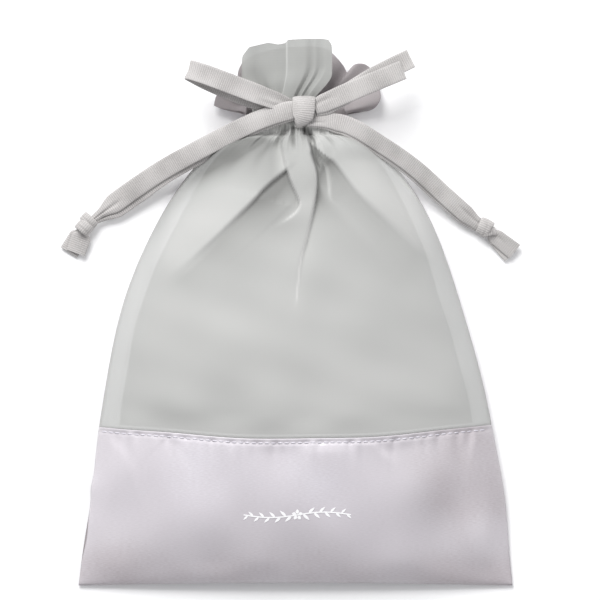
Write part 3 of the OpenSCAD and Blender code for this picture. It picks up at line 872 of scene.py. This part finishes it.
w, u, bottom = satin_grid(76)
y = bottom + (band_top(across)[None] - bottom) * (1 - (1 - w) ** 1.15)
x = sway(y) + u * half_width(y)
at_left = ease(u, -0.9, -1)
x = x - 0.9 * bell(y + 97, 6) * at_left + 0.8 * bell(y + 125, 9) * at_left
z = filled_front(u, y) + 0.4
down = band_top(u) - y
z = z - 0.6 * bell(down - BAND_HEM, 0.8) + 0.25 * bell(down, 1.0)
rng = np.random.default_rng(11)
pucker = 0
for size, wave, phase in zip((0.5, 0.45, 0.35), (8.3, 12.7, 5.9), rng.uniform(0, 6, 3)):
    pucker = pucker + size * np.sin(2 * math.pi * x / wave + phase)
z = z + 0.85 * pucker * np.exp(-np.maximum(down - BAND_HEM, 0) / 5) * ease(down, 0.2, 3) * off_seam(u, 0.1)
BAND_PLEATS = (
    (((-104, -66), (-92, -80), (-84, -98), (-80, -118)), 1, (0.8, 0.2), 12, 6),
    (((-70, -66), (-60, -76), (-52, -90)), -1, (0.7, 0.2), 10, 5),
    (((100, -64), (94, -80), (96, -100), (104, -122)), -1, (0.8, 0.2), 12, 6),
    (((40, -67), (48, -76), (60, -84)), 1, (1.0, 0.3), 8, 4),
)
z = z + folds(x, y, BAND_PLEATS, ()) * off_seam(u, 0.06) * ease(down, 0, 5)
z = z + ripple(x, y, 8, 42, 0.7) * off_seam(u, 0.12) * ease(y - bottom, 0, 14) * ease(down, 0, 9)
base_band = cloth_piece("base_band_satin", x, y, z, u * BASE_HALF, satin)
# Painted light and shade on the band: paler in the middle, darker towards the bottom and to the right.
lean = 0.20 * ease(y, -128, -90) * ease(x, -110, -50) * ease(x, 75, 20) - 0.20 * ease(y, -112, -146)
lean = lean - 0.30 * ease(x, 30, 92) * ease(y, -135, -105) - 0.12 * ease(x, -40, -100) * ease(y, -112, -140)
lean = lean - 0.15 * ease(x, 40, 95) * ease(y, -115, -140)
paint(base_band, "band_painted_light_and_shade", lean)
band_at = surface_of(base_band)
thicken(base_band, SATIN_THICK)
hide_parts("base_band")
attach(base_band, "pouch")


# Back and back frill. The same satin in one piece from the bottom seam to the mouth. It lies flat on the
# table, its edges come up to the seams, and near the neck it is gathered into the back of the casing.
# Above that its frill fans out, with the matt reverse upwards; the reverse is painted dark, painted shade
# for the inside of the pouch and for the frill under the bow.
BACK_DEPTH = 10.9
w, u, bottom = satin_grid(190)
y = bottom + (MOUTH + 1.0 - bottom) * w
span = np.interp(y, (98, 105, 113), (28, 27.2, 27.0))
x = np.where(y <= CASING, sway(y) + u * half_width(y), u * span + sway(CASING) * ease(y, 113, 98))
lift = np.maximum(ease(np.abs(u), 0.9, 1.0) ** 1.4, ease(y - bottom, 9, 0) ** 1.4)
seam = seam_height(y)
flat = 0.45 + (seam - 0.45) * lift
neck = NECK_MIDDLE - BACK_DEPTH * neck_round(u * NECK_HALF)
gathered = ease(y, 80, 99)
z = flat * (1 - gathered) + neck * gathered
waves = 0.5 + 0.25 * (np.sin(u * 37 + 0.6) + np.sin(u * 59 + 2.0))
z = z + 1.5 * waves * ease(y, 45, 92) * off_seam(u, 0.1) * (1 - 0.5 * gathered)
z = z + 0.35 * (0.5 + 0.5 * ripple(x, y, 21, 30, 1.0)) * off_seam(u, 0.12)
back_panel = cloth_piece("back_satin_panel", x, y, z, u * BASE_HALF, satin)
thicken(back_panel, SATIN_THICK, 1.0)
turn_up_shaded_reverse(back_panel)
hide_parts("back_panel", "back_casing")
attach(back_panel, "pouch")

FAN_EDGE = [
    (-27.5, 109.5), (-37, 111.4), (-44.4, 114.0), (-45, 115.2), (-44, 119.2), (-42.5, 120.6), (-36, 122.5),
    (-32.5, 128), (-31, 135), (-26, 141), (-12, 145.4), (4, 147), (14, 146.6), (20, 143.6), (26, 137),
    (29, 132), (30.4, 133.6), (32, 136.4), (35, 137.6), (39, 136.9), (42.6, 133.6), (45.2, 128.5),
    (46.6, 123), (47, 118.4), (45.2, 114.6), (42, 112.2), (35, 110.4), (29, 109.5),
]
rim = smooth_path([(*p, 0) for p in FAN_EDGE], 0.6)[0][:, :2]
share = np.linspace(0, 1, len(rim))
root = np.stack([-26.5 + 53 * share, 108.5 + 3.0 * np.sin(math.pi * share)], -1)
v = np.linspace(0, 1, 40)[:, None, None]
plane = root[None] * (1 - v) + rim[None] * v
x, y = plane[..., 0], plane[..., 1]
v, s = v[..., 0], share[None]
past_neck = ease(v, 0, 0.5)
z = (NECK_MIDDLE - BACK_DEPTH * neck_round(x)) * (1 - past_neck) + 4.6 * past_neck
z = z + 2.2 * ease(v, 0.1, 0.6) * (np.sin(s * 44 + 0.4) * 0.7 + 0.5 * np.sin(s * 71 + 1.0)) * (1 - 0.3 * v)
z = np.maximum(z, 0.6)
uv = np.stack([s * 240 + 0 * v, 112 + 35 * v + 0 * s], -1)
back_frill = mesh_piece("back_satin_frill", np.stack([x, y, z], -1), grid_faces(*x.shape), uv, satin)
thicken(back_frill, SATIN_THICK, 1.0)
turn_up_shaded_reverse(back_frill)
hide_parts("back_frill")
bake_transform(back_frill)


# Seam allowances. Inside, the raw edges of both cloths are turned in 9.5 mm and sewn down; through
# the organza they show as paler strips along both sides, as far up as the neck.
allowance_cloth, tree = new_material("overlocked_seam_cloth")
cloth = add(tree, "ShaderNodeUVMap", uv_map="cloth_mm")
# The overlocking has a loop every 0.9 mm.
loops = add(tree, "ShaderNodeTexNoise", {"Vector": cloth.outputs[0], "Scale": 1.1, "Detail": 4.0})
frayed = add(tree, "ShaderNodeBump", {"Height": loops.outputs["Fac"], "Strength": 0.3, "Distance": 0.0002})
colour = add(tree, "ShaderNodeValToRGB", {"Fac": loops.outputs["Fac"]}, ((0.35, "e4e3e6"), (0.65, "f2f1f3")))
finish_surface(tree, {
    "Base Color": colour.outputs["Color"], "Normal": frayed.outputs[0],
    "Roughness": 0.65, "Sheen Weight": 0.2,
})


def strip(name, node, x, y, z, cut_x):
    """A folded strip of seam cloth, two layers thick."""
    piece = cloth_piece(name, x, y, z, cut_x, allowance_cloth)
    thicken(piece, 2 * SATIN_THICK)
    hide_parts(node)
    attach(piece, "pouch")
    return piece


ALLOWANCE = 9.5
allowances = {}
for side, name in ((-1, "left"), (1, "right")):
    y = np.linspace(-142, 92, 240)[:, None] + np.zeros((1, 9))
    k = np.linspace(0, 1, 9)[None]
    uneven = 0.35 * np.sin(y / 17 + side) + 0.25 * np.sin(y / 6.1)
    width = (ALLOWANCE + uneven) * (1 - 0.45 * ease(y, 60, 92))
    from_seam = 1.2 + width * k
    x = sway(y) + side * (half_width(y) - from_seam)
    u_at = np.clip((x - sway(y)) / half_width(y), -0.999, 0.999)
    z = np.maximum(filled_front(u_at, y) - 1.6 - 0.5 * k, 1.2)
    allowances[name] = strip(name + "_seam_allowance_strip", name + "_seam_allowance", x, y, z, from_seam)
x = np.linspace(-106, 106, 200)[None] + np.zeros((7, 1))
y = BOTTOM + 2.5 + 7.5 * np.linspace(0, 1, 7)[:, None]
y = y + SEAM_CURVE * (1 - (x / BASE_HALF) ** 2) + 0.3 * np.sin(x / 9)
strip("bottom_seam_allowance_strip", "bottom_seam_allowance", x, y, 1.9 + 0.25 * np.sin(x / 5) + 0 * y, x)
u_hem = np.repeat(np.linspace(-0.965, 0.965, 220)[None], 7, 0)
y = band_top(u_hem) - 6.0 + 8.2 * np.linspace(0, 1, 7)[:, None]
x = sway(y) + u_hem * half_width(y)
strip("band_hem_strip", "band_hem", x, y, filled_front(u_hem, y) - 1.3, x)


# Stitching. Polyester sewing thread: one topstitched row holds the band's folded edge to the organza,
# and a row along each side holds the allowance down.
thread, tree = new_material("spun_polyester_sewing_thread")
place = add(tree, "ShaderNodeNewGeometry")
# The plies turn once in 0.4 mm.
twist = add(tree, "ShaderNodeTexNoise", {"Vector": place.outputs["Position"], "Scale": 2500.0, "Detail": 2.0})
colour = add(tree, "ShaderNodeValToRGB", {"Fac": twist.outputs["Fac"]}, ((0.3, "c9c6cd"), (0.7, "e8e5ec")))
finish_surface(tree, {"Base Color": colour.outputs["Color"], "Roughness": 0.5})
STITCH = ((0, 0.35, -0.3), (0.12, 0.85, 0.35), (0.5, 1, 0.55), (0.88, 0.85, 0.35), (1, 0.35, -0.3))
ROUND = 6


def stitches(name, at, line, length, gap, radius):
    """A row of stitches, each a short round-ended thread that dips into the cloth at both ends."""
    path, s = smooth_path([(*p, 0) for p in line], 0.25)
    points, faces = [], []
    start = 0.5
    while start + length < s[-1]:
        rings = []
        for q, bulge, dip in STITCH:
            px = np.interp(start + q * length, s, path[:, 0])
            py = np.interp(start + q * length, s, path[:, 1])
            hit = at(px, py)
            if hit is None:
                break
            rings.append((hit[0] + hit[1] * (dip * radius), hit[1], bulge * radius))
        if len(rings) == len(STITCH):
            along = (rings[-1][0] - rings[0][0]).normalized()
            first = len(points)
            for centre, normal, r in rings:
                side = along.cross(normal)
                for a in range(ROUND):
                    g = a * 2 * math.pi / ROUND
                    points.append(centre + side * (r * math.cos(g)) + normal * (r * math.sin(g)))
            last = len(points) - ROUND
            faces += grid_faces(len(STITCH), ROUND, first, closed=True)
            faces += [[first + i for i in range(ROUND)][::-1], [last + i for i in range(ROUND)]]
        start += length + gap
    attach(mesh_piece(name, points, faces, None, thread), "pouch")


on_band = np.linspace(-0.985, 0.985, 60)
line_y = band_top(on_band) - BAND_HEM
line_x = sway(line_y) + on_band * half_width(line_y)
stitches("band_topstitching", band_at, list(zip(line_x, line_y)), 2.7, 0.9, 0.38)
for side, name in ((-1, "left"), (1, "right")):
    y = np.linspace(-58, 88, 50)
    x = sway(y) + side * (half_width(y) - 1.2 - ALLOWANCE * 0.82 * (1 - 0.45 * ease(y, 60, 92)))
    on_strip = surface_of(allowances[name])
    stitches(name + "_allowance_stitching", on_strip, list(zip(x, y)), 2.2, 1.0, 0.22)


# Print. A leaf sprig in white heat-transfer ink lies flat on the middle of the band: a thin wavy stem,
# leaves to both sides and a flower of five petals. The ink is a smooth film, made brighter than the satin by
# a faint glow, painted light.
ink, tree = new_material("white_heat_transfer_ink")
place = add(tree, "ShaderNodeNewGeometry")
# The film has specks 1.1 mm apart.
speck = add(tree, "ShaderNodeTexNoise", {"Vector": place.outputs["Position"], "Scale": 900.0, "Detail": 2.0})
colour = add(tree, "ShaderNodeValToRGB", {"Fac": speck.outputs["Fac"]}, ((0.3, "f7f7f8"), (0.7, "ffffff")))
# The ink is given a faint white glow, painted light, so it shows brighter than the satin.
finish_surface(tree, {
    "Base Color": colour.outputs["Color"], "Roughness": 0.35,
    "Emission Color": (1, 1, 1, 1), "Emission Strength": 0.12,
})

SPRIG_AT = (1.0, -111.0)
LEAF_ANGLE, LEAF_LENGTH = 42, 4.6


def blade(root, heading, reach, wide):
    """A leaf or petal in quads, from the distances of its rows from the root and half its width there."""
    aside = np.array([-heading[1], heading[0]])
    rows = [(root + heading * r - aside * w, root + heading * r + aside * w) for r, w in zip(reach, wide)]
    return [[a[0], b[0], b[1], a[1]] for a, b in zip(rows, rows[1:])]


stem_x = np.linspace(-29.5, 29.5, 60)
stem = np.stack([stem_x, 1.5 * np.sin(stem_x / 9.5)], -1)
outlines = []
for a, b in zip(stem, stem[1:]):
    n = np.array([a[1] - b[1], b[0] - a[0]]) / np.linalg.norm(b - a) * 0.33
    outlines.append([a - n, b - n, b + n, a + n])
t = np.linspace(0, 1, 11)
for k, centre in enumerate(np.linspace(-27, 27, 19)):
    if abs(centre) < 2:
        continue
    angle = math.radians(LEAF_ANGLE) * (1 if k % 2 else -1)
    heading = np.array([math.copysign(math.cos(angle), centre), math.sin(angle)])
    size = LEAF_LENGTH - 1.6 * abs(centre) / 29
    wide = (0.78 * np.sin(math.pi * t**0.8) * (1 - 0.25 * t) + 0.12) * size / LEAF_LENGTH
    outlines += blade(np.array([centre, 1.5 * math.sin(centre / 9.5)]), heading, 0.4 + size * t, wide)
r = np.linspace(0.7, 3.0, 6)
wide = 0.95 * np.sin(math.pi * np.minimum(0.92, (r - 0.5) / 2.7) ** 0.9)
for g in np.radians(np.arange(90, 450, 72)):
    outlines += blade(np.zeros(2), np.array([math.cos(g), math.sin(g)]), r, wide)
points, faces = [], []
for outline in outlines:
    corners = [band_at(SPRIG_AT[0] + p[0], SPRIG_AT[1] + p[1]) for p in outline]
    faces.append([len(points) + i for i in range(4)])
    points += [hit[0] + hit[1] * 0.18 for hit in corners]
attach(mesh_piece("white_sprig_print", points, faces, None, ink), "pouch")
